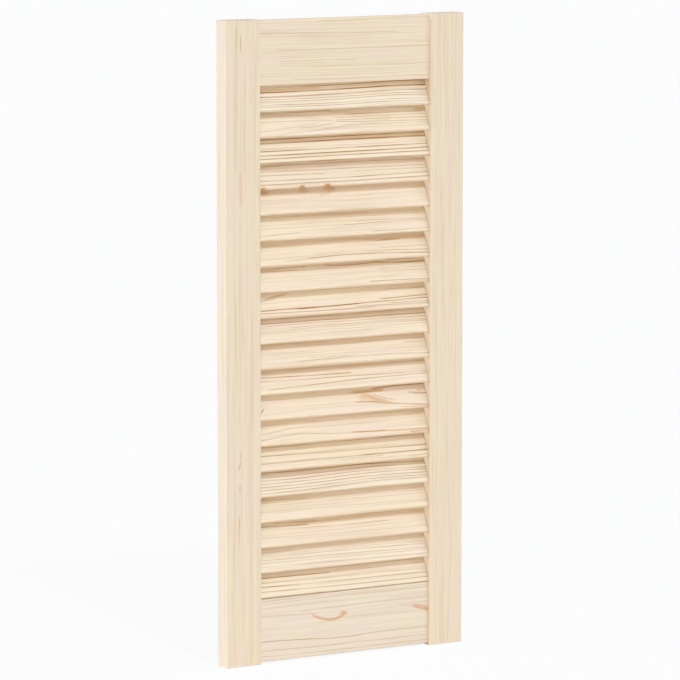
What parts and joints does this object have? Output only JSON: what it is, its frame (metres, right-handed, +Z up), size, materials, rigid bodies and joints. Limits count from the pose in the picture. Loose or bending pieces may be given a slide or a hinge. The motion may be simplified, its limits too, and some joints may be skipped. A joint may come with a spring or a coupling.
{
  "type": "louvred cabinet door",
  "caption": "Unfinished solid pine cabinet door: an upright frame of stiles and dowelled rails around fixed, sloping louvre slats that let air through.",
  "frame": {"origin": "on the floor under the middle of the door, halfway through its thickness", "axes": "+Z up along the stiles, -Y out of the front face, +X to the right seen from the front"},
  "size_m": [0.294, 0.021, 0.69],
  "materials": {
    "pine_stile": "bare planed pine, matt, upright grain",
    "pine_rail": "bare planed pine, matt, level grain",
    "pine_slat": "bare planed pine, matt, level grain",
    "beech_dowel": "fluted beech dowel, matt"
  },
  "bodies": {
    "root": {"left_stile": "pine_stile", "right_stile": "pine_stile", "top_rail": "pine_rail", "bottom_rail": "pine_rail", "slat_01": "pine_slat", "slat_02": "pine_slat", "slat_03": "pine_slat", "slat_04": "pine_slat", "slat_05": "pine_slat", "slat_06": "pine_slat", "slat_07": "pine_slat", "slat_08": "pine_slat", "slat_09": "pine_slat", "slat_10": "pine_slat", "slat_11": "pine_slat", "slat_12": "pine_slat", "slat_13": "pine_slat", "slat_14": "pine_slat", "slat_15": "pine_slat", "slat_16": "pine_slat", "slat_17": "pine_slat", "slat_18": "pine_slat", "slat_19": "pine_slat", "slat_20": "pine_slat", "dowel_top_left_upper": "beech_dowel", "dowel_top_left_lower": "beech_dowel", "dowel_top_right_upper": "beech_dowel", "dowel_top_right_lower": "beech_dowel", "dowel_bottom_left_upper": "beech_dowel", "dowel_bottom_left_lower": "beech_dowel", "dowel_bottom_right_upper": "beech_dowel", "dowel_bottom_right_lower": "beech_dowel"}
  },
  "joints": []
}
